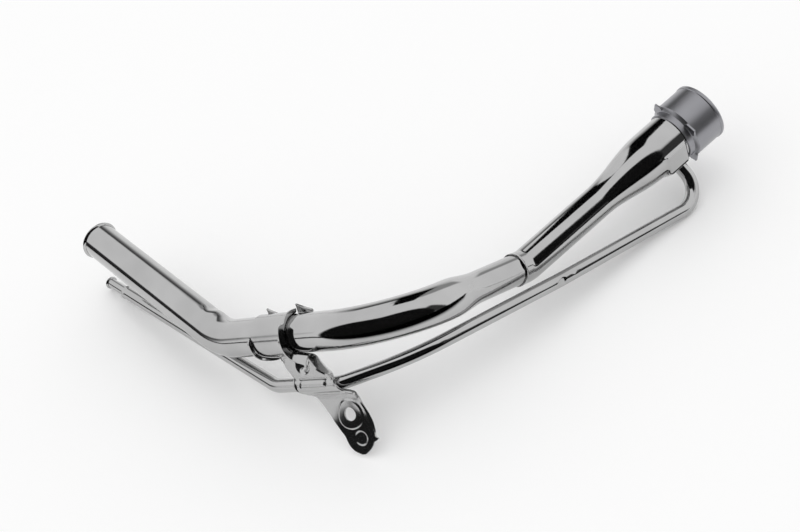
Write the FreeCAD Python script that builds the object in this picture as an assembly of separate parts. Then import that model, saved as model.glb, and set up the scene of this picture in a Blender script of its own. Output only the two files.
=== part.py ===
# Fuel filler neck of a passenger car, lying as it comes to rest on a floor.
# A filler pipe in two lengths, its flared head, a vent pipe beside it and one sheet bracket.
# Units are millimetres, +Z is up.  The origin is on the floor under the middle of the part.
import FreeCAD, Part
import math
import os

V = FreeCAD.Vector
EPS = 0.01

# Sheet and tube stock
PIPE_WALL = 1.2
VENT_WALL = 1.0
HEAD_WALL = 1.5
SHEET = 2.0

# Lower filler pipe
PIPE_R = 19.0              # outside radius, fits a 38 mm hose
PIPE_BEND_1_R = 70.0
PIPE_BEND_2_R = 85.0
HOSE_BEAD_R = 21.0
HOSE_BEAD_HALF = 2.0
BEAD_ROOT = 0.6            # how far a bead or step reaches down into its tube wall
NECKED_R = 15.25           # drawn-down end that enters the upper pipe
NECKING_LENGTH = 40.0
LEAD_TO_NECKING = 2.0

# Brazed joint between the two lengths
BRAZE_CLEARANCE = 0.05
SOCKET_DEPTH = 16.0        # mouth of the upper pipe, measured back from the kink
NECK_STOP = 6.5            # end of the lower pipe, measured back from the kink
KINK_R = 20.0

# Filler head
HEAD_R = 30.7
HEAD_STEP = 5.2            # from the outside of the cup in to the flare
HEAD_LENGTH = 36.5
HEAD_SHOULDER = 1.5
HEAD_RIM_ROLL = 1.6
RIM_STEP = 0.7             # the rolled rim stands this far outside the cup
RIM_ROUND = 0.3            # share of the roll at which its round edge is met
MOUTH_TURNED_IN = 6.2      # from the outside of the cup in to its mouth
HEAD_MOUTH_R = HEAD_R - MOUTH_TURNED_IN
HEAD_SLEEVE = 8.0          # depth of the sleeve that goes over the flare end
RAMP_DEPTH = 9.0
NOTCH_WIDE = 11.0
NOTCH_SPARE = 1.0          # a notch cuts this far past the sheet on every side
EAR_ANGLES = (0.0, 180.0, 275.0)   # turned about the head from the boss side
EAR_OUT = 5.0              # the ears reach this far outside the cup
EAR_HALF = 7.0
EAR_SHEET = 2.0

# Upper filler pipe with its flare
UPPER_IN_R = NECKED_R + BRAZE_CLEARANCE
UPPER_R = UPPER_IN_R + PIPE_WALL
FLARE_R = HEAD_R - HEAD_STEP
FLARE_START = 36.0         # back from the flare end to where the full width is reached
FLARE_LENGTH = 76.0
MOUTH_BEAD = 0.8

# Nozzle restrictor
RESTRICTOR_WALL = 1.2
NOZZLE_R = 10.8
RESTRICTOR_LIP = 6.0
RESTRICTOR_CONE = 9.0
RESTRICTOR_CREASE = 0.3
RESTRICTOR_TUBE = 26.0

# Vent pipe
VENT_R = 6.9
VENT_BEND_R = 30.0
VENT_LONG_BEND_R = 90.0
VENT_SLIGHT_BEND_R = 300.0
VENT_TURN_R = 25.0
VENT_HOSE_R = 5.3
VENT_BEAD_R = 7.0
VENT_BEAD_HALF = 1.4
VENT_HOSE_LENGTH = 34.0
VENT_SHOULDER_R = 7.6
VENT_SHOULDER_RISE = 1.0   # length of the shoulder's ramp up, its crest and its ramp down
VENT_SHOULDER_CREST = 1.2
VENT_IN_FLARE = 3.0

# Boss pressed out of the flare where the vent pipe enters
BOSS_LONG = 30.0
BOSS_WIDE = 22.0
BOSS_OUT = 28.0
BOSS_LEAN = -48.0          # the second face of the boss, turned about the flare
BOSS_SIDE_OUT = 27.0
BOSS_BACK = 24.5           # centre of the boss, back from the flare end
BOSS_CHAMFER = 3.0
ENTRY_REACH = 40.0

# Bracket: distances along the pipe (u), across to the vent pipe (w) and outward (n)
SADDLE_ON_PIPE = 86.5      # middle of the saddle, from bend 1
VENT_WAY = V(-0.0238, -0.5929, -0.8049)   # from the filler pipe to the vent pipe
VENT_APART = 49.5
VENT_STEP_OFF = 60.0       # where the vent pipe leaves the bracket
SADDLE_RIGHT = 20.0
SADDLE_LEFT = -24.0
SADDLE_TUCK = 5.0          # how far the saddle wraps past the middle of the pipe
SADDLE_LEAVES = 60.0       # degrees round the pipe where the neck leaves the saddle
VENT_MET = 35.0            # degrees round the vent pipe where the neck meets it
VENT_LEFT_AT = 50.0        # degrees round the vent pipe where the tab leaves it
RIGHT_FLANGE = 9.0
RIGHT_FLANGE_TAIL = 30.0   # the flange ends this far past the vent pipe
LEFT_FLANGE = 4.0
LEFT_FLANGE_TAIL = 20.0
FLANGE_OVER_PIPE = 3.0
FLANGE_AT_VENT = 0.7       # share of the flange's height that is left over the vent pipe
FLANGE_ROUND = 5.0
LIP_STARTS = 4.0           # across the pipe, where the low left lip begins
SHEET_BEND = 2.5           # inside radius of the sheet's bends
NECK_BEND = 1.4
NECK_LEVEL = 5.0
TAB_LEVEL = 2.0
TAB_END = (73.0, 99.5)
TAB_END_R = 17.0
HOLE_AT = (67.0, 78.0)
HOLE_R = 6.5
PAD_R = 12.8
PAD_RISE = 1.4
DIMPLE_AT = (76.0, 99.5)
DIMPLE_BALL_R = 9.0
DIMPLE_DEEP = 1.4
TANG_OUT = 4.0
TANG_WIDE = 8.0
TANG_AT = 6.0              # from the middle of the tab end
SHEET_REACH = 140.0        # the bent sheet before it is trimmed, across and along the pipe
SHEET_BEHIND = 40.0
TRIM_HIGH = 60.0
SADDLE_EDGE = -40.0        # trimming outline, beyond the edge of the saddle

# Trimming outline of the bracket as (u, w) points, and the ears at the back of the saddle
RIGHT_EDGE = [(SADDLE_RIGHT, SADDLE_EDGE), (SADDLE_RIGHT, 10), (29, 17), (43, 21), (55.5, 38), (63, 46), (73, 56),
              (87, 79.5), (90, 92.5)]
LEFT_NECK = [(57.5, 107.5), (30.5, 59), (14.5, 57), (10, 49), (5.5, 41), (-4, 28), (-12, 21), (SADDLE_LEFT, 17)]
EAR_RIGHT = [(18, -18.6), (18, -26), (22, -27), (34, -20), (34, -18.6)]
EAR_LEFT = [(SADDLE_LEFT, -18.6), (SADDLE_LEFT, -24), (-14, -25), (-12, -18.6)]

# How far the two ends reach from the middle of the crook: to the left or right, to the back and up
HOSE_END_LEFT = 323.0
HOSE_END_BACK = 134.0
HOSE_END_UP = 76.0
RIM_RIGHT = 324.4
RIM_BACK = 147.3
RIM_UP = 63.8

# Bend points of the filler pipe, from the hose end to the rim of the head
HOSE_END = V(-HOSE_END_LEFT, HOSE_END_BACK, HOSE_END_UP)
BEND_1 = V(-173.0, -32.0, 49.5)
BEND_2 = V(12.5, -127.0, 114.0)
KINK = V(128.0, -2.5, 39.5)
RIM = V(RIM_RIGHT, RIM_BACK, RIM_UP)

# Bend points of the vent pipe, from its hose end to the flare
VENT_END = HOSE_END + V(-16.5, 9.0, -69.0)
VENT_1 = V(-123.0, -85.5, 27.5)
VENT_3 = V(23.0, -125.5, 69.0)
VENT_4 = V(157.5, -23.5, 31.0)
VENT_5 = RIM + V(-12.4, -61.8, -61.3)
VENT_AIM = RIM + V(-44.9, -33.8, -7.3)


def unit(v):
    w = V(v)
    w.normalize()
    return w


def placed(shape, at, x, y, z):
    """A shape drawn in its own frame, set down at a point with its three ways turned to x, y and z."""
    turn = FreeCAD.Matrix(x.x, y.x, z.x, at.x, x.y, y.y, z.y, at.y, x.z, y.z, z.z, at.z, 0, 0, 0, 1)
    shape = shape.copy()
    shape.Placement = FreeCAD.Placement(turn)
    return shape


def disc(centre, axis, r):
    """A flat round face."""
    return Part.Face(Part.Wire(Part.makeCircle(r, centre, axis)))


def bend(before, corner, after, r):
    """Where a bend of radius r starts and ends, its centre, axis and angle."""
    a, b = unit(corner - before), unit(after - corner)
    turn = a.getAngle(b)
    reach = r * math.tan(turn / 2.0)
    axis = unit(a.cross(b))
    start, end = corner - a * reach, corner + b * reach
    centre = start + axis.cross(a) * r
    return start, end, centre, axis, math.degrees(turn), a


def rod(points, radii, r):
    """A round rod along bend points, with straight lengths and true bends."""
    lengths = []
    at = points[0]
    for i, bend_r in enumerate(radii):
        start, end, centre, axis, turn, a = bend(*points[i:i + 3], bend_r)
        lengths.append(Part.makeCylinder(r, (start - at).Length, at, a))
        lengths.append(disc(start, a, r).revolve(centre, axis, turn))
        at = end
    last = points[-1] - at
    lengths.append(Part.makeCylinder(r, last.Length, at, last))
    return lengths[0].multiFuse(lengths[1:])


def turned(profile, at, axis):
    """A solid turned from (along, radius) points; a three-point entry is an arc through its middle."""
    edges = []
    here = profile[0]
    for step in profile[1:]:
        if len(step) == 4:
            arc = Part.Arc(V(here[1], 0, here[0]), V(step[1], 0, step[0]), V(step[3], 0, step[2]))
            edges.append(arc.toShape())
            here = step[2:]
        else:
            edges.append(Part.makeLine(V(here[1], 0, here[0]), V(step[1], 0, step[0])))
            here = step
    edges.append(Part.makeLine(V(here[1], 0, here[0]), V(profile[0][1], 0, profile[0][0])))
    body = Part.Face(Part.Wire(edges)).revolve(V(0, 0, 0), V(0, 0, 1), 360)
    body.Placement = FreeCAD.Placement(at, FreeCAD.Rotation(V(0, 0, 1), axis))
    return body


def swell(at, axis, length, r_start, r_end):
    """A solid length whose radius runs smoothly from one value to another."""
    curve = Part.BezierCurve()
    curve.setPoles([V(r_start, 0, 0), V(r_start, 0, length * 0.35),
                    V(r_end, 0, length * 0.6), V(r_end, 0, length)])
    edges = [curve.toShape(),
             Part.makeLine(V(r_end, 0, length), V(0, 0, length)),
             Part.makeLine(V(0, 0, length), V(0, 0, 0)),
             Part.makeLine(V(0, 0, 0), V(r_start, 0, 0))]
    body = Part.Face(Part.Wire(edges)).revolve(V(0, 0, 0), V(0, 0, 1), 360)
    body.Placement = FreeCAD.Placement(at, FreeCAD.Rotation(V(0, 0, 1), axis))
    return body


def hose_bead(at, axis, r_tube, r_bead, half):
    """A ring rolled up at a tube's end, such as keeps a hose on; axis points into the tube."""
    root = r_tube - BEAD_ROOT
    return turned([(0, root), (0, r_tube), (half, r_bead, 2 * half, r_tube), (2 * half, root)], at, axis)


def lower_pipe():
    """Filler pipe from the hose end, round two bends, drawn down to the joint."""
    bend_end = bend(BEND_1, BEND_2, KINK, PIPE_BEND_2_R)[1]
    along = unit(KINK - BEND_2)
    necking = bend_end + along * LEAD_TO_NECKING
    narrow = necking + along * NECKING_LENGTH
    stop = KINK - along * NECK_STOP

    def run(inset):
        big = rod([HOSE_END, BEND_1, BEND_2, necking], [PIPE_BEND_1_R, PIPE_BEND_2_R], PIPE_R - inset)
        drawn = swell(necking, along, NECKING_LENGTH, PIPE_R - inset, NECKED_R - inset)
        small = Part.makeCylinder(NECKED_R - inset, (stop - narrow).Length, narrow, along)
        return big.multiFuse([drawn, small])

    bead = hose_bead(HOSE_END, unit(BEND_1 - HOSE_END), PIPE_R, HOSE_BEAD_R, HOSE_BEAD_HALF)
    return run(0.0).fuse(bead).cut(run(PIPE_WALL)).removeSplitter()


def head_axis():
    return unit(RIM - KINK)


def flare_end():
    return RIM - head_axis() * HEAD_LENGTH


def boss_frame():
    """Centre of the boss on the flare axis, the axis, the way out to the vent pipe and the third way."""
    axis = head_axis()
    centre = flare_end() - axis * BOSS_BACK
    out = VENT_5 - VENT_AIM
    out = unit(out - axis * out.dot(axis))
    return centre, axis, out, axis.cross(out)


def boss_block(inset, lean=0.0, out_to=BOSS_OUT):
    """A flat-faced block from the flare axis out to one face of the boss."""
    centre, axis, out, side = boss_frame()
    out = FreeCAD.Rotation(axis, lean).multVec(out)
    side = axis.cross(out)
    long, wide, high = BOSS_LONG - 2 * inset, BOSS_WIDE - 2 * inset, out_to - inset
    block = Part.makeBox(long, wide, high, V(-long / 2, -wide / 2, 0))
    edges = [e for e in block.Edges if e.BoundBox.ZMax > high - EPS]
    block = block.makeChamfer(BOSS_CHAMFER, edges)
    return placed(block, centre, axis, side * -1, out)


def vent_inner_end():
    """Where the vent pipe stops, just inside the flare."""
    along = unit(VENT_AIM - VENT_5)
    centre, axis, out, side = boss_frame()
    depth = BOSS_OUT - PIPE_WALL - VENT_IN_FLARE
    step = (centre + out * depth - VENT_5).dot(out) / along.dot(out)
    return VENT_5 + along * step


def upper_pipe():
    """Filler pipe from its socket, round the kink, opening out to the flare."""
    back = unit(KINK - BEND_2)
    mouth = KINK - back * SOCKET_DEPTH
    axis = head_axis()
    flare_full = flare_end() - axis * FLARE_START
    flare_at = flare_full - axis * FLARE_LENGTH

    def run(grow):
        thin = rod([mouth, KINK, flare_at], [KINK_R], UPPER_IN_R + grow)
        wide = FLARE_R - PIPE_WALL + grow
        cone = swell(flare_at, axis, FLARE_LENGTH, UPPER_IN_R + grow, wide)
        end = Part.makeCylinder(wide, FLARE_START, flare_full, axis)
        return thin.multiFuse([cone, end])

    bead = hose_bead(mouth, back, UPPER_R, UPPER_R + MOUTH_BEAD, MOUTH_BEAD)
    outside = run(PIPE_WALL).multiFuse([bead, boss_block(0.0), boss_block(0.0, BOSS_LEAN, BOSS_SIDE_OUT)])
    inside = run(0.0).multiFuse([boss_block(PIPE_WALL), boss_block(PIPE_WALL, BOSS_LEAN, BOSS_SIDE_OUT)])
    along = unit(VENT_AIM - VENT_5)
    entry = Part.makeCylinder(VENT_R, ENTRY_REACH, vent_inner_end() - along * ENTRY_REACH, along)
    return outside.cut(inside).cut(entry).removeSplitter()


def head_cup():
    """Pressed head: sleeve over the flare, wide cup and rolled rim with its turned-in mouth."""
    sleeve = FLARE_R + HEAD_WALL
    inner = HEAD_R - HEAD_WALL
    roll = HEAD_RIM_ROLL
    rim = HEAD_LENGTH
    step = rim - 3 * roll
    mouth = HEAD_MOUTH_R + HEAD_WALL
    return turned([
        (-HEAD_SLEEVE, FLARE_R), (-HEAD_SLEEVE, sleeve), (-HEAD_SHOULDER, sleeve),
        (0, HEAD_R - HEAD_SHOULDER), (HEAD_SHOULDER, HEAD_R), (step, HEAD_R),
        (step + RIM_STEP, HEAD_R + RIM_STEP), (rim - roll, HEAD_R + RIM_STEP),
        (rim - roll * RIM_ROUND, HEAD_R, rim, HEAD_R - roll),
        (rim, HEAD_MOUTH_R + HEAD_WALL / 2), (rim - HEAD_WALL / 2, HEAD_MOUTH_R),
        (rim - RAMP_DEPTH, HEAD_MOUTH_R), (rim - RAMP_DEPTH, mouth), (rim - HEAD_WALL, mouth),
        (rim - HEAD_WALL, inner), (2 * HEAD_WALL, inner), (HEAD_WALL, inner - HEAD_WALL),
        (HEAD_WALL, FLARE_R)], flare_end(), head_axis())


def notches(body):
    """Two gaps in the turned-in mouth that let the cap in."""
    centre, axis, out, side = boss_frame()
    thick, high = HEAD_WALL + 2 * NOTCH_SPARE, RAMP_DEPTH + 2 * NOTCH_SPARE
    for way in (1, -1):
        corner = V(HEAD_MOUTH_R - NOTCH_SPARE, -NOTCH_WIDE / 2, HEAD_LENGTH - RAMP_DEPTH - NOTCH_SPARE)
        gap = Part.makeBox(thick, NOTCH_WIDE, high, corner)
        body = body.cut(placed(gap, flare_end(), side * way, out * -way, axis))
    return body


def ear_plate(angle):
    """A thin pointed ear standing out from the shoulder of the cup, at an angle from the boss side."""
    centre, axis, out, side = boss_frame()
    radial = FreeCAD.Rotation(axis, angle).multVec(out)
    across = axis.cross(radial)
    root, tip = FLARE_R + EPS, HEAD_R + EAR_OUT
    corners = [V(root, -EAR_HALF, 0), V(HEAD_R, -EAR_HALF, 0), V(tip, EAR_HALF * 0.3, 0),
               V(tip - EAR_SHEET, EAR_HALF * 0.5, 0), V(HEAD_R, EAR_HALF, 0), V(root, EAR_HALF, 0)]
    plate = Part.Face(Part.makePolygon(corners + corners[:1])).extrude(V(0, 0, EAR_SHEET))
    return placed(plate, flare_end() - axis * (EAR_SHEET / 2), radial, across, axis)


def filler_head():
    body = notches(head_cup()).multiFuse([ear_plate(angle) for angle in EAR_ANGLES])
    foot = flare_end() - head_axis() * HEAD_SLEEVE
    bore = Part.makeCylinder(FLARE_R, HEAD_SLEEVE + 2 * HEAD_WALL, foot, head_axis())
    return body.cut(bore).removeSplitter()


def nozzle_restrictor():
    """Pressed funnel in the flare end that lets only a thin nozzle through."""
    outer = FLARE_R - PIPE_WALL
    inner = outer - RESTRICTOR_WALL
    tube_r = NOZZLE_R + RESTRICTOR_WALL
    lip = RESTRICTOR_TUBE - RESTRICTOR_LIP
    narrow = lip - RESTRICTOR_CONE
    return turned([
        (RESTRICTOR_TUBE, inner), (RESTRICTOR_TUBE, outer), (lip, outer), (narrow, tube_r), (0, tube_r),
        (0, NOZZLE_R), (narrow, NOZZLE_R), (lip - RESTRICTOR_CREASE, inner)],
        flare_end() - head_axis() * RESTRICTOR_TUBE, head_axis())


def bracket_ways():
    """Middle of the saddle on the pipe axis and the three ways u, w, n."""
    u = unit(BEND_2 - BEND_1)
    middle = BEND_1 + u * SADDLE_ON_PIPE
    w = unit(VENT_WAY - u * VENT_WAY.dot(u))
    return middle, u, w, w.cross(u)


def vent_beside_bracket():
    """The two bend points of the vent length that runs beside the pipe."""
    middle, u, w, n = bracket_ways()
    row = middle + w * VENT_APART
    return row + u * (VENT_1 - row).dot(u), row + u * VENT_STEP_OFF


def vent_points():
    first, second = vent_beside_bracket()
    return [VENT_END, first, second, VENT_3, VENT_4, VENT_5, vent_inner_end()]


def vent_pipe():
    """Vent pipe from its thin hose end to the boss on the flare."""
    points = vent_points()
    radii = [VENT_BEND_R, VENT_BEND_R, VENT_LONG_BEND_R, VENT_SLIGHT_BEND_R, VENT_TURN_R]
    along = unit(points[1] - points[0])
    shoulder = points[0] + along * VENT_HOSE_LENGTH

    def run(inset):
        step_in = shoulder + along * (inset * 2)
        thin = Part.makeCylinder(VENT_HOSE_R - inset, (step_in - points[0]).Length, points[0], along)
        return rod([step_in] + points[1:], radii, VENT_R - inset).fuse(thin)

    bead = hose_bead(points[0], along, VENT_HOSE_R, VENT_BEAD_R, VENT_BEAD_HALF)
    up, crest = VENT_SHOULDER_RISE, VENT_SHOULDER_RISE + VENT_SHOULDER_CREST
    down = crest + VENT_SHOULDER_RISE
    step = turned([(0, VENT_HOSE_R), (0, VENT_R), (up, VENT_SHOULDER_R), (crest, VENT_SHOULDER_R),
                   (down, VENT_R - BEAD_ROOT), (down, VENT_HOSE_R)], shoulder, along)
    return run(0.0).multiFuse([bead, step]).cut(run(VENT_WALL)).removeSplitter()


def rounded(points, radii):
    """Edges of a path with rounded corners, in the plane of the sheet profile."""
    edges = []
    at = points[0]
    for i, r in enumerate(radii):
        before, corner, after = points[i:i + 3]
        a, b = unit(corner - before), unit(after - corner)
        turn = a.getAngle(b)
        reach = r * math.tan(turn / 2.0)
        start, end = corner - a * reach, corner + b * reach
        inward = unit(b - a)
        middle = corner + inward * (r / math.cos(turn / 2.0) - r)
        if (start - at).Length > EPS:
            edges.append(Part.makeLine(at, start))
        edges.append(Part.Arc(start, middle, end).toShape())
        at = end
    edges.append(Part.makeLine(at, points[-1]))
    return edges


def pw(w, n):
    """A point of the sheet profile; the drawing's Y runs from the vent pipe to the filler pipe."""
    return V(0, -w, n)


def strap_path(t):
    """The sheet at height t off the pipes: over the filler pipe, across, over the vent pipe, down the tab."""
    r, v = PIPE_R + t, VENT_R + t
    level, tab = NECK_LEVEL + t, TAB_LEVEL + t
    off, on, out = (math.radians(a) for a in (SADDLE_LEAVES, VENT_MET, VENT_LEFT_AT))
    leave = pw(r * math.sin(off), r * math.cos(off))
    neck_top = leave + pw(math.cos(off), -math.sin(off)) * ((leave.z - level) / math.sin(off))
    meet = pw(VENT_APART - v * math.sin(on), v * math.cos(on))
    neck_foot = meet - pw(math.cos(on), math.sin(on)) * ((meet.z - level) / math.sin(on))
    crown = meet + pw(math.cos(on), math.sin(on)) * (v * math.tan((on + out) / 2))
    part = pw(VENT_APART + v * math.sin(out), v * math.cos(out))
    tab_top = part + pw(math.cos(out), -math.sin(out)) * ((part.z - tab) / math.sin(out))
    points = [pw(-r, -SADDLE_TUCK), pw(-r, r), pw(r * math.tan(off / 2), r), neck_top, neck_foot, crown, tab_top,
              pw(SHEET_REACH, tab)]
    return points, [r, r, SHEET_BEND, NECK_BEND, v, SHEET_BEND]


def sheet_between(inner, outer):
    """The solid between two paths of the sheet profile, wider than the finished outline."""
    edges = rounded(*inner) + rounded(*outer)
    edges.append(Part.makeLine(inner[0][-1], outer[0][-1]))
    edges.append(Part.makeLine(inner[0][0], outer[0][0]))
    face = Part.Face(Part.Wire(Part.__sortEdges__(edges)))
    return face.extrude(V(SHEET_REACH + SHEET_BEHIND, 0, 0)).translated(V(-SHEET_BEHIND, 0, 0))


def flange_path(high, tail):
    """The top of a standing flange, from the saddle over the vent pipe down to the tab."""
    r = PIPE_R + SHEET + high
    over = PIPE_R + SHEET + FLANGE_OVER_PIPE
    lip = NECK_LEVEL + SHEET + high + 2 * BEAD_ROOT
    crest = VENT_R + SHEET + high * FLANGE_AT_VENT
    top = TAB_LEVEL + SHEET
    points = [pw(-over, -SADDLE_TUCK), pw(-over, r), pw(r * 0.55, r), pw(r * 0.95, lip),
              pw(VENT_APART - VENT_R, crest), pw(VENT_APART + VENT_R, crest), pw(VENT_APART + tail, top),
              pw(SHEET_REACH, top)]
    return points, [over, 2 * FLANGE_ROUND] + [FLANGE_ROUND] * 4


def on_tab(at, n):
    return V(at[0], -at[1], n)


def prism(points):
    """A tall prism over an outline given as (u, w) points."""
    corners = [V(u, -w, -TRIM_HIGH) for u, w in points]
    return Part.Face(Part.makePolygon(corners + corners[:1])).extrude(V(0, 0, 2 * TRIM_HIGH))


def ear(points):
    """A small ear standing at the back end of the saddle."""
    corners = [V(u, -w, -SADDLE_TUCK - SHEET) for u, w in points]
    return Part.Face(Part.makePolygon(corners + corners[:1])).extrude(V(0, 0, SHEET + BEAD_ROOT))


def inset_edge(points, step):
    """The same edge line moved sideways along the pipe."""
    return [(u + step, w) for u, w in points]


def tab_end_round():
    """The round end of the tab as outline points, from its right side to its left."""
    middle = V(TAB_END[0], TAB_END[1], 0)
    turns = (math.radians(angle) for angle in range(-10, 150, 10))
    ring = (middle + V(math.cos(turn), math.sin(turn), 0) * TAB_END_R for turn in turns)
    return [(p.x, p.y) for p in ring]


def edge_strip(edge, width):
    """A prism along an outline edge, as wide as the sheet is thick."""
    return prism(edge + list(reversed(inset_edge(edge, width))))


def support_bracket():
    """One sheet bracket: saddle, neck, vent saddle and bolt tab, with a flange along each edge."""
    middle, u, w, n = bracket_ways()
    outline = prism(RIGHT_EDGE + tab_end_round() + LEFT_NECK + [(SADDLE_LEFT, SADDLE_EDGE)])
    inner = strap_path(0.0)
    sheet = sheet_between(inner, strap_path(SHEET)).common(outline)
    flange = sheet_between(inner, flange_path(RIGHT_FLANGE, RIGHT_FLANGE_TAIL)).common(edge_strip(RIGHT_EDGE, -SHEET))
    low_edge = LEFT_NECK[5:] + [(SADDLE_LEFT, LIP_STARTS)]
    lip = sheet_between(inner, flange_path(LEFT_FLANGE, LEFT_FLANGE_TAIL)).common(edge_strip(low_edge, SHEET))
    top = TAB_LEVEL + SHEET
    pad = Part.makeCone(PAD_R + PAD_RISE, PAD_R, PAD_RISE, on_tab(HOLE_AT, top))
    body = sheet.multiFuse([flange, lip, pad, ear(EAR_RIGHT), ear(EAR_LEFT)])
    body = body.cut(Part.makeSphere(DIMPLE_BALL_R, on_tab(DIMPLE_AT, top - DIMPLE_DEEP + DIMPLE_BALL_R)))
    body = body.cut(Part.makeCylinder(HOLE_R, TRIM_HIGH, on_tab(HOLE_AT, -TRIM_HIGH / 2)))
    corner = on_tab((TAB_END[0] + TAB_END_R - 3 * EPS - TANG_OUT / 2, TAB_END[1] + TANG_AT), TAB_LEVEL - SHEET)
    tang = Part.makeBox(TANG_OUT * 1.5, TANG_WIDE, SHEET + BEAD_ROOT, corner)
    return placed(body.fuse(tang).removeSplitter(), middle, u, w * -1, n)


def pieces():
    return {
        "lower_filler_pipe": lower_pipe(),
        "upper_filler_pipe": upper_pipe(),
        "filler_head": filler_head(),
        "nozzle_restrictor": nozzle_restrictor(),
        "vent_pipe": vent_pipe(),
        "support_bracket": support_bracket(),
    }


def main():
    os.makedirs("parts", exist_ok=True)
    made = pieces()
    box = FreeCAD.BoundBox()
    for shape in made.values():
        box.add(shape.optimalBoundingBox(False))
    shift = V(-box.Center.x, -box.Center.y, -box.ZMin)
    print("size", box.XLength, box.YLength, box.ZLength, "shift", shift)
    for name, shape in made.items():
        shape = shape.translated(shift)
        print(name, shape.ShapeType, len(shape.Solids), shape.isValid(), round(shape.Volume, 1))
        shape.exportStep("parts/%s.step" % name)


main()
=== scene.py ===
import functools
import math

import bmesh
import bpy
from mathutils import Matrix, Vector


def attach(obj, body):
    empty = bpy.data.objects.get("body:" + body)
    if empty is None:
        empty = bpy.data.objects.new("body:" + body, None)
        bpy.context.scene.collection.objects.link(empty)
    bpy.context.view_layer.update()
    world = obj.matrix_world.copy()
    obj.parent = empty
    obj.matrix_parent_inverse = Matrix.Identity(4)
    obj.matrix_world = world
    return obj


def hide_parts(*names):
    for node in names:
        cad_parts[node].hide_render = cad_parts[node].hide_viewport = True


# Looks of a steel fuel filler neck: two brazed pipe lengths, flared head, vent pipe and sheet bracket.
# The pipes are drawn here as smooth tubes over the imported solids; lengths are written in millimetres.
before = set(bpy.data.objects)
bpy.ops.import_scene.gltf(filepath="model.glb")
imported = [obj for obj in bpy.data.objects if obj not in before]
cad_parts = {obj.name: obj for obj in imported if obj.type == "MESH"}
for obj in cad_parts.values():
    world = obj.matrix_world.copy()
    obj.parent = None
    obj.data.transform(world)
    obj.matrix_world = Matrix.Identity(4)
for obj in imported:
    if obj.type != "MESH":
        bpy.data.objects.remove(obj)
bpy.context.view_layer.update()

MM = 0.001
SHIFT = Vector((0.626, 2.048, -0.101))     # from the bend points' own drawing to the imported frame

# Filler pipe
PIPE_R = 19.0
PIPE_WALL = 1.2
NECKED_R = 15.25
NECKING_LENGTH = 40.0
LEAD_TO_NECKING = 2.0
NECK_STOP = 6.5
SOCKET_DEPTH = 16.0
UPPER_R = 16.5
HOSE_BEAD_HIGH = 2.0
HOSE_BEAD_HALF = 2.0
SOCKET_LIP_HIGH = 0.3
SOCKET_LIP_HALF = 0.8
BEND_1_R = 70.0
BEND_2_R = 85.0
KINK_R = 20.0
NECK_FLAT_LONG = 100.0
NECK_FLAT_DEEP = 1.3
NECK_FLAT_TURN = -8.0
FOLDS_OUT = 3.0
INNER_FOLDS = ((14.0, 1.6, 8.0, 11.0), (26.0, -1.4, 5.0, 9.0))    # before the bend, height, long, short
FLARE_R = 25.5
FLARE_START = 36.0
FLARE_LENGTH = 76.0
HEAD_LENGTH = 36.5
HOSE_END = Vector((-323.0, 134.0, 76.0))
BEND_1 = Vector((-173.0, -32.0, 49.5))
BEND_2 = Vector((12.5, -127.0, 114.0))
KINK = Vector((128.0, -2.5, 39.5))
RIM = Vector((324.4, 147.3, 63.8))

# Vent pipe
VENT_R = 6.9
VENT_WALL = 1.0
VENT_HOSE_R = 5.3
VENT_HOSE_LENGTH = 34.0
VENT_BEAD_HIGH = 1.7
VENT_BEAD_HALF = 1.4
VENT_STOP_R = 7.6
VENT_STOP_RINGS = ((0.3, VENT_R), (0.8, VENT_STOP_R), (1.3, VENT_STOP_R), (1.2, VENT_R))    # step, radius
VENT_BEND_R = (30.0, 30.0, 90.0, 300.0, 25.0)
VENT_FLATS = ((5.0, 24.0, 10.0, 1.3), (20.0, -5.0, 5.0, 0.6))    # past bend 4, turned, length, depth
VENT_END = Vector((-339.5, 143.0, 7.0))
VENT_1 = Vector((-123.0, -85.5, 27.5))
VENT_3 = Vector((23.0, -125.5, 69.0))
VENT_4 = Vector((157.5, -23.5, 31.0))
VENT_5 = Vector((312.0, 85.5, 2.5))
VENT_AIM = Vector((279.5, 113.5, 56.5))
SADDLE_ON_PIPE = 86.5
VENT_WAY = Vector((-0.0238, -0.5929, -0.8049))
VENT_APART = 49.5
VENT_STEP_OFF = 60.0
BOSS_BACK = 24.5
BOSS_OUT = 28.0
BOSS_LEAN = -48.0
BOSS_SIDE_OUT = 27.0
BOSS_LONG = 30.0
BOSS_WIDE = 22.0
BOSS_CHAMFER = 3.0
VENT_SHORT_OF_BOSS = 3.0

# Bracket: distances along the filler pipe (u) and along the sheet from the top of that pipe (run)
SHEET = 2.0
SADDLE_LEAVES = 60.0
SADDLE_LEAVES_MORE = 25.0
STRAP_BACK = -32.0
STRAP_END = 124.6
STRAP_STRAIGHT = 2.9
STRAP_BACK_TURN = 3.14
STRAP_TO_TAB = ((22.2, 0.0), (1.53, 35.0), (11.72, -85.0), (1.07, 0.0), (3.05, 50.0), (100.0, 0.0))
LIP_BEND_R = 2.2
HOLE_AT = (67.0, 86.0)
HOLE_R = 6.5
PAD_R = 14.0
PAD_HIGH = 0.9
CORNER_DENT_AT = (20.0, 36.0)
CORNER_DENT_R = 9.0
CORNER_DENT_DEEP = 4.0
RIB_HIGH = 0.8
RIB_FROM = 14.5
RIB_TO = 47.0
RIB_RUN = 53.0
RIB_HALF = 3.4
CREASE_DEEP = 0.8
DIMPLE_AT = (73.5, 109.5)
DIMPLE_R = 7.4
DIMPLE_DEEP = 1.0
TAB_TWIST = 10.5
EAR_ROOT = 18.6
EAR_DEEP = 6.0
SADDLE_EARS = (("saddle_ear_right", 16.0, 36.0, 9.0), ("saddle_ear_left", -24.0, -12.0, 7.0))

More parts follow.
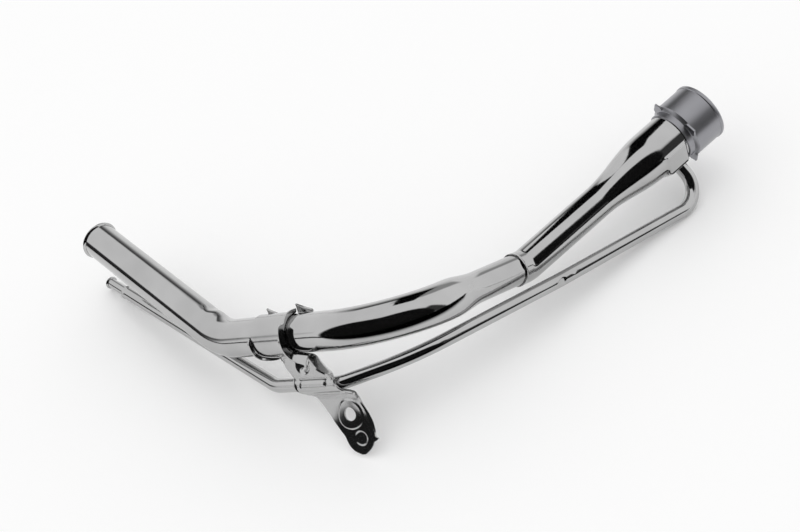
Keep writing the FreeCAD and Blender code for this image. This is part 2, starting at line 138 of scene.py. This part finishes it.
# Edges of the sheet as (run, u) and the heights of what stands along them as (run, height);
# STRAP_TO_TAB above has the sheet's lengths and turns from the filler pipe round the vent pipe to the tab
LEFT_EDGE = ((-32, -29), (14, -29), (20, -27), (25, -21), (28, -12), (30.5, -5), (37, -2.4), (44.5, 3.8),
             (51, 6), (60, 7.5), (65, 10), (68, 27), (76.5, 35), (86.5, 43.5), (98, 52), (107, 57.5),
             (112, 58.7), (116, 60.4), (119, 62.6), (121.5, 65.4), (123.5, 69), (124.6, 73))
RIGHT_EDGE = ((-32, 18.5), (10, 18.5), (16, 19.5), (20, 23), (24, 33), (26, 41), (33, 46), (38.5, 51),
              (43.5, 57), (50, 58.5), (55, 60.5), (59, 65), (61.5, 71), (64, 78), (71, 82.6), (79, 85),
              (86.5, 87.5), (95.5, 89), (105, 89.3), (109, 88.8), (111.5, 94), (113, 87), (116.5, 85.4),
              (120, 82.4), (122.5, 79.3), (124.6, 75))
TAB_MIDDLE = ((60, 50), (76, 60), (98, 70), (126, 72))
LEFT_LIP = ((-32, 0), (-6, 0), (-3, 2), (2, 5.5), (20, 6), (27, 5.5), (31, 2), (34, 0), (46, 0), (49, 3.5),
            (56, 4), (64, 1), (66, 0))
RIGHT_FLANGE = ((-32, 5), (-20, 6), (-12, 4), (-9, 10), (16, 10), (20, 11), (25, 14), (38, 14), (44, 10),
                (50, 6), (56, 5), (70, 4), (85, 2.5), (100, 1.2), (108, 0))

# Camera, in the bend points' own drawing
CAMERA_LENS = 67.5
FILM_WIDTH = 36.0
CAMERA_AT = Vector((272.1, -1079.6, 1011.3))
CAMERA_RIGHT = Vector((0.9636, 0.0, -0.2673))
CAMERA_BACK = Vector((0.1794, -0.7413, 0.6467)).normalized()

# Stage, in metres, and in degrees round the part (-90 is the camera's side) and up
FLOOR_HALF = 4.0
TABLE_FRONT = (-0.32, -0.20)
TABLE_FRONT_SLANT = 0.35
TABLE_LEFT = (-1.3, -0.7)
FRONT_MIDDLE = (-95.0, 24.0)
FRONT_HALF = (68.0, 40.0)
FRONT_CORNERS = 3.2
CARD_AT = Vector((0.14, 0.57, 0.68))
CARD_TOWARDS = Vector((0.25, 0.09, 0.05))
CARD_WIDE = 0.26
CARD_TALL = 0.75


# Node helpers

class Value:
    """A shader socket that takes part in written sums."""

    def __init__(self, tree, socket):
        self.tree = tree
        self.socket = socket

    def _math(self, operation, first, second=None):
        node = self.tree.nodes.new("ShaderNodeMath")
        node.operation = operation
        for slot, given in zip(node.inputs, (first, second)):
            if isinstance(given, Value):
                self.tree.links.new(given.socket, slot)
            elif given is not None:
                slot.default_value = given
        return Value(self.tree, node.outputs[0])

    def __add__(self, other):
        return self._math("ADD", self, other)

    def __radd__(self, other):
        return self._math("ADD", other, self)

    def __sub__(self, other):
        return self._math("SUBTRACT", self, other)

    def __rsub__(self, other):
        return self._math("SUBTRACT", other, self)

    def __mul__(self, other):
        return self._math("MULTIPLY", self, other)

    def __rmul__(self, other):
        return self._math("MULTIPLY", other, self)

    def above(self, other):
        return self._math("MAXIMUM", self, other)

    def bearing(self, other):
        return self._math("ARCTAN2", self, other) * math.degrees(1.0)

    def slope(self):
        return self._math("ARCSINE", self) * math.degrees(1.0)

    def power(self, other):
        return self._math("POWER", self, other)

    def size(self):
        return self._math("ABSOLUTE", self)


class Nodes:
    """Adds nodes to one tree: a type, its settings, and what goes into its sockets."""

    def __init__(self, tree):
        self.tree = tree
        tree.nodes.clear()

    def add(self, kind, settings=None, out=0, **sockets):
        node = self.tree.nodes.new("ShaderNode" + kind)
        for name, value in (settings or {}).items():
            if name == "stops":
                self._stops(node.color_ramp, value)
            else:
                setattr(node, name, value)
        for name, value in sockets.items():
            slot = self._slot(node, name)
            if isinstance(value, Value):
                self.tree.links.new(value.socket, slot)
            else:
                slot.default_value = value
        return Value(self.tree, node.outputs[out]) if len(node.outputs) else node

    def _slot(self, node, name):
        if name.startswith("in") and name[2:].isdigit():
            return node.inputs[int(name[2:])]
        return node.inputs[name.replace("_", " ")]

    def _stops(self, ramp, stops):
        while len(ramp.elements) < len(stops):
            ramp.elements.new(1.0)
        for element, (place, colour) in zip(ramp.elements, stops):
            element.position = place
            element.color = colour


def grey(value):
    return (value, value, value, 1.0)


# Finishes

def steel_finish(name, dark, light, blue, smooth):
    """Glossy coated steel: a shade that drifts between two greys, fine grain, faint waves of the metal."""
    material = bpy.data.materials.new(name)
    material.use_nodes = True
    n = Nodes(material.node_tree)
    place = n.add("TexCoord", out=3)
    broad = n.add("TexNoise", in0=place, Scale=22.0, Detail=2.0, Roughness=0.5)
    fine = n.add("TexNoise", in0=place, Scale=420.0, Detail=3.0, Roughness=0.6)
    waves = n.add("Bump", Strength=0.25, Distance=0.0006, Height=broad)
    skin = n.add("Bump", Strength=0.12, Distance=0.00012, Height=fine, Normal=waves)
    stops = [(0.3, (dark, dark, dark + blue, 1.0)), (0.7, (light, light, light + blue, 1.0))]
    shade = n.add("ValToRGB", {"stops": stops}, in0=broad)
    rough = smooth + 0.05 * fine
    shader = n.add("BsdfPrincipled", Base_Color=shade, Metallic=1.0, Roughness=rough, Normal=skin)
    n.add("OutputMaterial", Surface=shader)
    return material


def coated_steel():
    """The drawn and coated tubes."""
    return steel_finish("coated_steel_look", dark=0.44, light=0.5, blue=0.0, smooth=0.05)


def sheet_steel():
    """The bracket: the same coating on rolled sheet, which is a little less smooth than drawn tube."""
    return steel_finish("sheet_steel_look", dark=0.44, light=0.5, blue=0.0, smooth=0.11)


def head_steel():
    """The deep-drawn head: a little darker and bluer than the tubes."""
    return steel_finish("head_steel_look", dark=0.30, light=0.34, blue=0.02, smooth=0.3)


def inner_steel():
    """The restrictor inside the flare: duller, as pressed steel that no one polishes."""
    return steel_finish("inner_steel_look", dark=0.26, light=0.34, blue=0.0, smooth=0.25)


# Shapes

def new_piece(name, mesh_data, material):
    """Turn a finished bmesh into a piece in the scene, with its material on its one slot."""
    data = bpy.data.meshes.new(name)
    mesh_data.to_mesh(data)
    mesh_data.free()
    piece = bpy.data.objects.new(name, data)
    bpy.context.scene.collection.objects.link(piece)
    data.materials.append(material)
    return piece


def soften(mesh_data, angle):
    """Smooth shading everywhere but over edges sharper than an angle."""
    limit = math.radians(angle)
    for face in mesh_data.faces:
        face.smooth = True
    for edge in mesh_data.edges:
        edge.smooth = len(edge.link_faces) == 2 and edge.calc_face_angle(0.0) < limit


class Tube:
    """A tube grown ring by ring along its own axis, through straight lengths, bends and changes of width."""

    def __init__(self, centre, axis, radius, around=96):
        self.mesh = bmesh.new()
        made = bmesh.ops.create_circle(self.mesh, cap_ends=False, segments=around, radius=radius)
        turn = Vector((0, 0, 1)).rotation_difference(axis).to_matrix().to_4x4()
        bmesh.ops.transform(self.mesh, matrix=Matrix.Translation(centre) @ turn, verts=made["verts"])
        self.ring = list(self.mesh.edges)
        self.centre = centre.copy()
        self.axis = axis.normalized()
        self.radius = radius

    def step(self, length, radius=None):
        """One more ring, a length further on, with its own radius."""
        radius = self.radius if radius is None else radius
        grown = bmesh.ops.extrude_edge_only(self.mesh, edges=self.ring)["geom"]
        verts = [g for g in grown if isinstance(g, bmesh.types.BMVert)]
        self.ring = [g for g in grown if isinstance(g, bmesh.types.BMEdge)]
        self.centre = self.centre + self.axis * length
        bmesh.ops.translate(self.mesh, vec=self.axis * length, verts=verts)
        scale = radius / self.radius
        if abs(scale - 1.0) > 1e-9:
            bmesh.ops.scale(self.mesh, vec=(scale, scale, scale), verts=verts,
                            space=Matrix.Translation(-self.centre))
        self.radius = radius

    def straight(self, length, steps):
        for _ in range(steps):
            self.step(length / steps)

    def straight_to(self, point, spacing):
        length = (point - self.centre).dot(self.axis)
        self.straight(length, max(1, round(length / spacing)))

    def swell(self, length, radius, steps):
        """A smooth change of width over a length."""
        start = self.radius
        done = 0.0
        for i in range(1, steps + 1):
            t = i / steps
            s = 1.0 - t
            along = length * (3 * s * s * t * 0.35 + 3 * s * t * t * 0.6 + t ** 3)
            wide = start * (s ** 3 + 3 * s * s * t) + radius * (3 * s * t * t + t ** 3)
            self.step(along - done, wide)
            done = along

    def bend(self, corner, after, bend_r, spacing, step_degrees=2.0):
        """Run up to a corner, then round it with a true bend of the given radius."""
        leave = (after - corner).normalized()
        turn = self.axis.angle(leave)
        reach = bend_r * math.tan(turn / 2.0)
        self.straight_to(corner - self.axis * reach, spacing)
        pivot = self.axis.cross(leave).normalized()
        middle = self.centre + pivot.cross(self.axis) * bend_r
        steps = max(2, round(math.degrees(turn) / step_degrees))
        verts = list({v for e in self.ring for v in e.verts})
        spun = bmesh.ops.spin(self.mesh, geom=verts + self.ring, cent=middle, axis=pivot, angle=turn,
                              steps=steps, use_duplicate=False)["geom_last"]
        self.ring = [g for g in spun if isinstance(g, bmesh.types.BMEdge)]
        self.centre = middle + Matrix.Rotation(turn, 3, pivot) @ (self.centre - middle)
        self.axis = leave

    def press(self, stamp):
        """Move every point of the tube to where a stamp, a function of the point, puts it."""
        for vert in self.mesh.verts:
            vert.co = stamp(vert.co)

    def finish(self, name, wall, material, sharp=40.0):
        """Give the tube its wall, inwards, and make it a piece at its real size."""
        bmesh.ops.remove_doubles(self.mesh, verts=self.mesh.verts, dist=0.001)
        bmesh.ops.recalc_face_normals(self.mesh, faces=self.mesh.faces)
        bmesh.ops.translate(self.mesh, vec=SHIFT, verts=self.mesh.verts)
        bmesh.ops.scale(self.mesh, vec=(MM, MM, MM), verts=self.mesh.verts)
        soften(self.mesh, sharp)
        piece = new_piece(name, self.mesh, material)
        shell = piece.modifiers.new("wall", "SOLIDIFY")
        shell.thickness = wall * MM
        shell.offset = -1.0
        return piece


def ring_bead(tube, height, half, steps=6):
    """A raised ring rolled into the tube."""
    base = tube.radius
    for i in range(1, 2 * steps + 1):
        lift = math.sin(math.pi * i / (2 * steps))
        tube.step(half / steps, base + height * lift)


def bump(centre, way, height, long_way, long, short):
    """A stamp for a low swelling or dent: longer one way than across it."""
    long_way = long_way.normalized()

    def stamp(point):
        off = point - centre
        along = off.dot(long_way)
        across = (off - long_way * along).length
        reach = (along / long) ** 2 + (across / short) ** 2
        return point + way * (height * math.exp(-reach)) if reach < 9.0 else point
    return stamp


def flat(end, axis, way, length, depth):
    """A stamp for a lens-shaped flat on a tube, from its end back along the axis."""

    def stamp(point):
        back = (end - point).dot(axis)
        if not 0.0 < back < length:
            return point
        spoke = point - (end - axis * back)
        share = back / length
        limit = spoke.length - depth * math.sin(math.pi * share ** 0.6) ** 0.8
        over = spoke.dot(way) - limit
        return point - way * over if over > 0 else point
    return stamp


def facing(axis, turn):
    """The way square to an axis that faces the camera side, turned about the axis by some degrees."""
    seen = CAMERA_BACK - axis * CAMERA_BACK.dot(axis)
    return Matrix.Rotation(math.radians(turn), 3, axis) @ seen.normalized()


def inner_side(before, corner, after):
    """The way from a bend point to the inside of its bend."""
    return ((before - corner).normalized() + (after - corner).normalized()).normalized()


def lower_pipe(material):
    """Filler pipe from the hose end to the drawn-down end in the joint."""
    tube = Tube(HOSE_END, BEND_1 - HOSE_END, PIPE_R, 160)
    ring_bead(tube, HOSE_BEAD_HIGH, HOSE_BEAD_HALF)
    first_leg = tube.axis.copy()
    tube.bend(BEND_1, BEND_2, BEND_1_R, 3.0)
    tube.bend(BEND_2, KINK, BEND_2_R, 3.0)
    tube.straight(LEAD_TO_NECKING, 1)
    tube.swell(NECKING_LENGTH, NECKED_R, 24)
    stop = KINK - tube.axis * NECK_STOP
    tube.straight_to(stop, 1.5)
    seen = facing(tube.axis, NECK_FLAT_TURN)
    tube.press(flat(stop, tube.axis, seen, NECK_FLAT_LONG, NECK_FLAT_DEEP))
    inside = inner_side(HOSE_END, BEND_1, BEND_2)
    folds = BEND_1 + inside * (PIPE_R + FOLDS_OUT)
    for before, height, long, short in INNER_FOLDS:
        tube.press(bump(folds - first_leg * before, inside, height, first_leg, long, short))
    piece = tube.finish("lower_filler_pipe_skin", PIPE_WALL, material)
    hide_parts("lower_filler_pipe")
    return piece


def head_axis():
    return (RIM - KINK).normalized()


def flare_end():
    return RIM - head_axis() * HEAD_LENGTH


def upper_pipe(material):
    """Filler pipe from its socket at the joint, round the kink and out to the flare."""
    back = (KINK - BEND_2).normalized()
    tube = Tube(KINK - back * SOCKET_DEPTH, back, UPPER_R, 192)
    ring_bead(tube, SOCKET_LIP_HIGH, SOCKET_LIP_HALF, 4)
    tube.bend(KINK, RIM, KINK_R, 1.5)
    axis = tube.axis
    tube.straight_to(flare_end() - axis * (FLARE_START + FLARE_LENGTH), 2.0)
    tube.swell(FLARE_LENGTH, FLARE_R, 60)
    tube.straight_to(flare_end(), 0.7)
    tube.press(boss_face(0.0, BOSS_OUT))
    tube.press(boss_face(BOSS_LEAN, BOSS_SIDE_OUT))
    piece = tube.finish("upper_filler_pipe_skin", PIPE_WALL, material)
    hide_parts("upper_filler_pipe")
    return piece


def bracket_ways():
    """Middle of the saddle on the pipe axis, and the ways along the pipe, across to the vent and out."""
    u = (BEND_2 - BEND_1).normalized()
    w = (VENT_WAY - u * VENT_WAY.dot(u)).normalized()
    return BEND_1 + u * SADDLE_ON_PIPE, u, w, w.cross(u)


def beside_bracket():
    """The two bend points of the vent length that runs beside the filler pipe."""
    middle, u, w, n = bracket_ways()
    row = middle + w * VENT_APART
    return row + u * (VENT_1 - row).dot(u), row + u * VENT_STEP_OFF


def boss_ways():
    """Centre of the boss on the flare axis, the axis and the way out to the vent pipe."""
    axis = head_axis()
    out = VENT_5 - VENT_AIM
    out = (out - axis * out.dot(axis)).normalized()
    return flare_end() - axis * BOSS_BACK, axis, out


def boss_face(lean, out_to):
    """A stamp that pushes the flare out to one flat face of the boss, with short ramps round it."""
    centre, axis, out = boss_ways()
    out = Matrix.Rotation(math.radians(lean), 3, axis) @ out
    side = axis.cross(out)

    def stamp(point):
        off = point - centre
        along = off.dot(axis)
        spoke = off - axis * along
        if abs(along) > BOSS_LONG / 2 or spoke.dot(out) < 0.3 * spoke.length:
            return point
        way = spoke.normalized()
        face = out_to / max(way.dot(out), 0.01)
        flank = BOSS_WIDE / 2 / max(abs(way.dot(side)), 0.01)
        end = (BOSS_LONG / 2 - abs(along)) + out_to - BOSS_CHAMFER
        reach = min(face, flank, end / max(way.dot(out), 0.01))
        return centre + axis * along + way * max(reach, spoke.length)
    return stamp


def vent_inner_end():
    """Where the vent pipe ends inside the boss."""
    along = (VENT_AIM - VENT_5).normalized()
    centre, axis, out = boss_ways()
    depth = BOSS_OUT - PIPE_WALL - VENT_SHORT_OF_BOSS
    return VENT_5 + along * ((centre + out * depth - VENT_5).dot(out) / along.dot(out))


def vent_pipe(material):
    """Thin vent pipe from its hose end, past the bracket and round into the boss."""
    first, second = beside_bracket()
    tube = Tube(VENT_END, first - VENT_END, VENT_HOSE_R, 48)
    ring_bead(tube, VENT_BEAD_HIGH, VENT_BEAD_HALF, 5)
    tube.straight(VENT_HOSE_LENGTH - 2 * VENT_BEAD_HALF, 6)
    for length, radius in VENT_STOP_RINGS:
        tube.step(length, radius)
    corners = [first, second, VENT_3, VENT_4, VENT_5, vent_inner_end()]
    for corner, after, bend_r in zip(corners, corners[1:], VENT_BEND_R):
        tube.bend(corner, after, bend_r, 2.0, min(2.0, math.degrees(1.0 / bend_r)))
    tube.straight_to(corners[-1], 3.0)
    along = (VENT_5 - VENT_4).normalized()
    for past, turned, length, depth in VENT_FLATS:
        tube.press(flat(VENT_4 + along * past, along, facing(along, turned), length, depth))
    piece = tube.finish("vent_pipe_skin", VENT_WALL, material)
    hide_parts("vent_pipe")
    return piece


@functools.lru_cache(maxsize=None)
def through(points, x):
    """A smooth line through (x, y) points: straight from one to the next, with the corners taken off."""

    def straight(x):
        for (x0, y0), (x1, y1) in zip(points, points[1:]):
            if x <= x1:
                return y0 + (y1 - y0) * max(0.0, x - x0) / (x1 - x0)
        return points[-1][1]
    return sum(straight(x + step) for step in (-1.2, -0.6, 0.0, 0.6, 1.2)) / 5.0


def strap_point(run, leave):
    """Middle of the sheet at a distance along it from the top of the filler pipe: place and heading."""
    on_pipe = PIPE_R + SHEET / 2
    on_saddle = (on_pipe * math.radians(leave), -leave)
    lengths = (on_saddle, (STRAP_STRAIGHT, 0.0), (STRAP_BACK_TURN, leave)) + STRAP_TO_TAB
    if run < 0.0:
        angle = run / on_pipe
        return on_pipe * math.sin(angle), on_pipe * math.cos(angle), -angle
    across, out, heading = 0.0, on_pipe, 0.0
    for length, turn in lengths:
        part = min(run, length)
        bent = math.radians(turn) * part / length
        chord = part if abs(bent) < 1e-6 else 2.0 * part / bent * math.sin(bent / 2.0)
        across += chord * math.cos(heading + bent / 2.0)
        out += chord * math.sin(heading + bent / 2.0)
        heading += bent
        run -= part
        if run <= 0.0:
            break
    return across, out, heading


def smooth_step(low, high, x):
    """0 at the low end, 1 at the high end, and a smooth change between them."""
    t = min(1.0, max(0.0, (x - low) / (high - low)))
    return t * t * (3.0 - 2.0 * t)


def pressed(u, run):
    """Height of what is pressed into the sheet: vent rib, corner dent, pad round the hole, dimple, twist."""
    inside = min(u - RIB_FROM, RIB_TO - u, RIB_HALF - abs(run - RIB_RUN))
    rib = RIB_HIGH * smooth_step(0.0, 1.2, inside) - CREASE_DEEP * math.exp(-(inside / 0.7) ** 2)
    dent = -CORNER_DENT_DEEP * smooth_step(CORNER_DENT_R, 2.0, math.dist((u, run), CORNER_DENT_AT))
    pad = PAD_HIGH * smooth_step(PAD_R + 0.5, PAD_R - 0.7, math.dist((u, run), HOLE_AT))
    dimple = -DIMPLE_DEEP * smooth_step(DIMPLE_R, DIMPLE_R - 1.4, math.dist((u, run), DIMPLE_AT))
    twist = math.tan(math.radians(TAB_TWIST * smooth_step(70.0, 100.0, run)))
    return rib + dent + pad + dimple - twist * (u - through(TAB_MIDDLE, run))


def sheet_place(u, run):
    """A point of the bracket's sheet, with its two ways: along the strap and square out of it."""
    middle, along_pipe, across, out = bracket_ways()
    leave = SADDLE_LEAVES + SADDLE_LEAVES_MORE * smooth_step(-4.0, -16.0, u)
    w, n, heading = strap_point(run, leave)
    forward = across * math.cos(heading) + out * math.sin(heading)
    upward = out * math.cos(heading) - across * math.sin(heading)
    place = middle + along_pipe * u + across * w + out * n + upward * pressed(u, run)
    return place, along_pipe, forward, upward


def edge_lip(u, run, edge, high, share, way):
    """A point of the lip that stands up along an edge: round the bend first, then straight."""
    lean = through(edge, run + 0.5) - through(edge, run - 0.5)
    inset = min(LIP_BEND_R, high)
    place, along_pipe, forward, upward = sheet_place(u, run)
    outward = (along_pipe * way - forward * (lean * way)).normalized()
    far = share * high
    turn = min(far / LIP_BEND_R, math.pi / 2)
    place = place + outward * (LIP_BEND_R * math.sin(turn)) + upward * (LIP_BEND_R * (1 - math.cos(turn)))
    return place + upward * max(0.0, far - LIP_BEND_R * math.pi / 2) - outward * inset


def bracket(material):
    """Support bracket, drawn as one sheet from the back of the saddle to the round end of the tab."""
    mesh_data = bmesh.new()
    columns, lip_columns, rows = 80, 9, 280
    wide = columns + 2 * lip_columns
    bmesh.ops.create_grid(mesh_data, x_segments=wide, y_segments=rows, size=0.5)
    for vert in mesh_data.verts:
        column = (vert.co.x + 0.5) * wide
        run = STRAP_BACK + (STRAP_END - STRAP_BACK) * (vert.co.y + 0.5)
        left, right = through(LEFT_EDGE, run), through(RIGHT_EDGE, run)
        share = (column - lip_columns) / columns
        tall_left, tall_right = through(LEFT_LIP, run), through(RIGHT_FLANGE, run)
        start = left + min(LIP_BEND_R, tall_left)
        stop = right - min(LIP_BEND_R, tall_right)
        if share < 0.0:
            vert.co = edge_lip(left, run, LEFT_EDGE, tall_left, -share * columns / lip_columns, -1.0)
        elif share > 1.0:
            part = (share - 1.0) * columns / lip_columns
            vert.co = edge_lip(right, run, RIGHT_EDGE, tall_right, part, 1.0)
        else:
            vert.co = sheet_place(start + (stop - start) * share, run)[0]
    cut_hole(mesh_data)
    return sheet_piece("support_bracket_skin", mesh_data, material)


def cut_hole(mesh_data):
    """Open the bolt hole: the faces inside it go, and the edge left over is drawn to a true circle."""
    centre, along_pipe, forward, upward = sheet_place(*HOLE_AT)
    inside = [f for f in mesh_data.faces if (f.calc_center_median() - centre).length < HOLE_R]
    bmesh.ops.delete(mesh_data, geom=inside, context="FACES")
    near = [v for v in mesh_data.verts if v.is_boundary and (v.co - centre).length < HOLE_R + 3.0]
    for vert in near:
        off = vert.co - centre
        height = upward * off.dot(upward)
        vert.co = centre + (off - height).normalized() * HOLE_R + height


def sheet_piece(name, mesh_data, material):
    """Give a sheet drawn at its middle its thickness and soft edges, at its real size."""
    bmesh.ops.remove_doubles(mesh_data, verts=mesh_data.verts, dist=0.03)
    bmesh.ops.dissolve_degenerate(mesh_data, edges=mesh_data.edges, dist=0.02)
    bmesh.ops.recalc_face_normals(mesh_data, faces=mesh_data.faces)
    bmesh.ops.translate(mesh_data, vec=SHIFT, verts=mesh_data.verts)
    bmesh.ops.scale(mesh_data, vec=(MM, MM, MM), verts=mesh_data.verts)
    soften(mesh_data, 60.0)
    piece = new_piece(name, mesh_data, material)
    shell = piece.modifiers.new("sheet", "SOLIDIFY")
    shell.thickness = SHEET * MM
    shell.offset = 0.0
    edges = piece.modifiers.new("edges", "BEVEL")
    edges.width = 0.5 * MM
    edges.segments = 2
    edges.limit_method = "ANGLE"
    edges.angle_limit = math.radians(50.0)
    return piece


def saddle_ear(name, material, u_from, u_to, reach):
    """A small pointed ear left standing at the back of the saddle."""
    middle, along_pipe, across, out = bracket_ways()
    mesh_data = bmesh.new()
    bmesh.ops.create_grid(mesh_data, x_segments=10, y_segments=6, size=0.5)
    for vert in mesh_data.verts:
        a, b = vert.co.x + 0.5, vert.co.y + 0.5
        tall = reach * (1.0 - 0.75 * a) * b
        curl = 2.0 * a * (1.0 - a) + 1.5 * b * b
        vert.co = (middle + along_pipe * (u_from + (u_to - u_from) * a)
                   - across * (EAR_ROOT + tall) + out * (curl - EAR_DEEP))
    return sheet_piece(name, mesh_data, material)


def carried_over(node, name, material, bevel, sharp=32.0):
    """A smooth-shaded copy of a packed sheet piece, with its sheet edges rounded off."""
    mesh_data = bmesh.new()
    mesh_data.from_mesh(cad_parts[node].data)
    bmesh.ops.remove_doubles(mesh_data, verts=mesh_data.verts, dist=0.00001)
    soften(mesh_data, sharp)
    piece = new_piece(name, mesh_data, material)
    if bevel:
        edges = piece.modifiers.new("edges", "BEVEL")
        edges.width = bevel * MM
        edges.segments = 2
        edges.limit_method = "ANGLE"
        edges.angle_limit = math.radians(sharp)
        edges.harden_normals = True
    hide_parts(node)
    return piece


# Stage

def rise(n, value, low, high):
    """0 below one value, 1 above another, and a smooth change between them."""
    return n.add("MapRange", {"interpolation_type": "SMOOTHSTEP"}, Value=value, From_Min=low, From_Max=high)


def window(n, value, low, high, soft):
    """1 between two values, 0 outside them, with soft borders."""
    return rise(n, value, low - soft, low + soft) * (1.0 - rise(n, value, high - soft, high + soft))


def parts_of(n, vector):
    """The x, y and z of a vector."""
    return [n.add("SeparateXYZ", out=part, Vector=vector) for part in range(3)]


def floor():
    """White table; what the steel mirrors of it ends at the table's front and left edges."""
    mesh_data = bmesh.new()
    bmesh.ops.create_grid(mesh_data, x_segments=1, y_segments=1, size=FLOOR_HALF)
    material = bpy.data.materials.new("floor_white")
    material.use_nodes = True
    n = Nodes(material.node_tree)
    x, y, z = parts_of(n, n.add("TexCoord", out=3))
    past_front = 1.0 - rise(n, y - x * TABLE_FRONT_SLANT, *TABLE_FRONT)
    past_left = 1.0 - rise(n, x, *TABLE_LEFT)
    mirrored = n.add("LightPath", out=3)
    white = n.add("BsdfDiffuse", Color=grey(0.98))
    black = n.add("BsdfDiffuse", Color=grey(0.0))
    shader = n.add("MixShader", Fac=past_front.above(past_left) * mirrored, in1=white, in2=black)
    n.add("OutputMaterial", Surface=shader)
    stage = new_piece("floor", mesh_data, material)
    return stage


def dark_card(name, centre, towards, width, height):
    """A black card that only the steel's reflections show, as a studio hangs one beside shiny metal."""
    mesh_data = bmesh.new()
    bmesh.ops.create_grid(mesh_data, x_segments=1, y_segments=1, size=0.5)
    bmesh.ops.scale(mesh_data, vec=(width, height, 1.0), verts=mesh_data.verts)
    turn = (towards - centre).to_track_quat("Z", "Y").to_matrix().to_4x4()
    bmesh.ops.transform(mesh_data, matrix=Matrix.Translation(centre) @ turn, verts=mesh_data.verts)
    material = bpy.data.materials.new(name + "_black")
    material.use_nodes = True
    n = Nodes(material.node_tree)
    n.add("OutputMaterial", Surface=n.add("BsdfDiffuse", Color=grey(0.0)))
    card = new_piece(name, mesh_data, material)
    card.visible_camera = False
    card.visible_diffuse = False
    card.visible_shadow = False
    card.visible_transmission = False


def front_opening(n, around, up):
    """The tent's open front, with round corners."""
    across = ((around - FRONT_MIDDLE[0]) * (1 / FRONT_HALF[0])).size().power(FRONT_CORNERS)
    over = ((up - FRONT_MIDDLE[1]) * (1 / FRONT_HALF[1])).size().power(FRONT_CORNERS)
    return 1.0 - rise(n, across + over, 0.85, 1.15)


def back_seam(n, around, up):
    return window(n, around, 80.0, 112.0, 4.0) * rise(n, up, 2.0, 28.0) * (1.0 - rise(n, up, 31.0, 37.0))


def left_gap(n, from_left, up):
    """The gap between the tent's left wall and the table, measured from the left."""
    return window(n, from_left, -30.0, 6.0, 4.0) * window(n, up, -4.0, 12.0, 2.5)


def back_right_seam(n, around, up):
    return window(n, around, 58.0, 91.0, 4.0) * window(n, up, 14.0, 50.0, 4.0)


def right_seam(n, around, up):
    return window(n, around, -33.0, -18.0, 2.0) * window(n, up, -8.0, 34.0, 4.0)


def room_light():
    """White light tent: plain white for the floor, and dark where the steel mirrors its gaps and seams."""
    world = bpy.data.worlds.new("white_tent")
    bpy.context.scene.world = world
    world.use_nodes = True
    n = Nodes(world.node_tree)
    x, y, z = parts_of(n, n.add("TexCoord", out=0))
    around = y.bearing(x)
    from_left = (0.0 - y).bearing(0.0 - x)
    up = z.slope()
    dark = front_opening(n, around, up).above(back_seam(n, around, up) * 0.9)
    dark = dark.above(back_right_seam(n, around, up) * 0.6).above(left_gap(n, from_left, up) * 0.97)
    dark = dark.above(right_seam(n, around, up) * 0.95)
    mirrored = n.add("LightPath", out=3)
    shader = n.add("Background", Color=grey(1.0), Strength=1.0 - dark * mirrored * 0.995)
    n.add("OutputWorld", Surface=shader)
    dark_card("card_behind_head", CARD_AT, CARD_TOWARDS, CARD_WIDE, CARD_TALL)


def camera():
    """The photographer's view, looking down on the part from the front."""
    data = bpy.data.cameras.new("camera")
    data.lens = CAMERA_LENS
    data.sensor_width = FILM_WIDTH
    data.clip_end = 20.0
    view = bpy.data.objects.new("camera", data)
    up = CAMERA_BACK.cross(CAMERA_RIGHT).normalized()
    turn = Matrix((up.cross(CAMERA_BACK), up, CAMERA_BACK)).transposed().to_4x4()
    view.matrix_world = Matrix.Translation((CAMERA_AT + SHIFT) * MM) @ turn
    bpy.context.scene.collection.objects.link(view)
    bpy.context.scene.camera = view


def object_pieces():
    """Every piece of the part, each on the slot of its finish and riding with the part."""
    steel = coated_steel()
    made = [lower_pipe(steel), upper_pipe(steel), vent_pipe(steel)]
    rolled = sheet_steel()
    sheet = bracket(rolled)
    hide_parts("support_bracket")
    made.append(sheet)
    for name, u_from, u_to, reach in SADDLE_EARS:
        made.append(saddle_ear(name, rolled, u_from, u_to, reach))
    made.append(carried_over("filler_head", "filler_head_skin", head_steel(), 0.35))
    restrictor = carried_over("nozzle_restrictor", "nozzle_restrictor_skin", inner_steel(), 0.2)
    for piece in made + [restrictor]:
        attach(piece, "root")


def main():
    camera()
    bpy.context.scene.view_settings.view_transform = "Standard"
    object_pieces()
    floor()
    room_light()


main()
